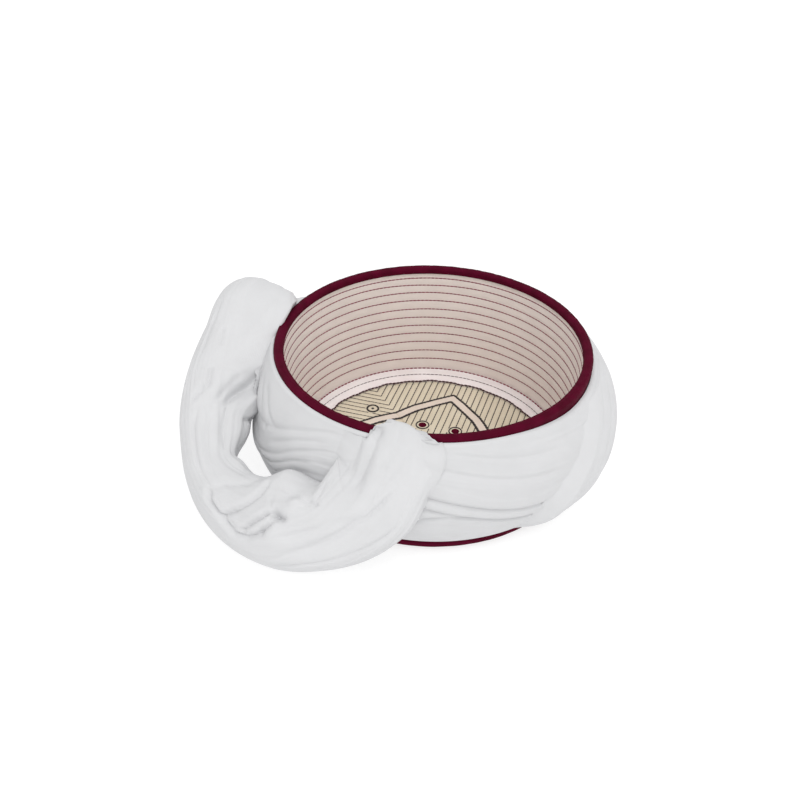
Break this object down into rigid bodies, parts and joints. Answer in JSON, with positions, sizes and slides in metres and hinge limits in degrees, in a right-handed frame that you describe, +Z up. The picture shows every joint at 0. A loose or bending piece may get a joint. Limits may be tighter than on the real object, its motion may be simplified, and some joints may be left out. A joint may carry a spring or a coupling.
{
  "type": "turban with skullcap",
  "caption": "Stiff quilted skullcap wound with a white cotton turban, lying upside down on its crown, with a loose rolled tail looping round one side.",
  "frame": {"origin": "centre of the crown, on the surface that it rests on", "axes": "+Z up out of the cap's mouth, -Y the front in the picture, +X to the right in the picture"},
  "size_m": [0.2625, 0.2276, 0.0933],
  "materials": {
    "turban_cloth": "fine white cotton muslin, softly pleated",
    "maroon_binding": "dark maroon woven cotton",
    "wall_lining": "cream cotton with rows of dark red stitching",
    "crown_lining": "beige cotton quilted with black thread",
    "seam_tape": "pale pink cotton tape"
  },
  "bodies": {
    "root": {"cap_wall": "wall_lining", "crown": "crown_lining", "crown_piping": "maroon_binding", "crown_tape": "seam_tape", "rim_binding": "maroon_binding", "turban_wraps": "turban_cloth", "cross_turn": "turban_cloth", "tail_loop": "turban_cloth"}
  },
  "joints": []
}
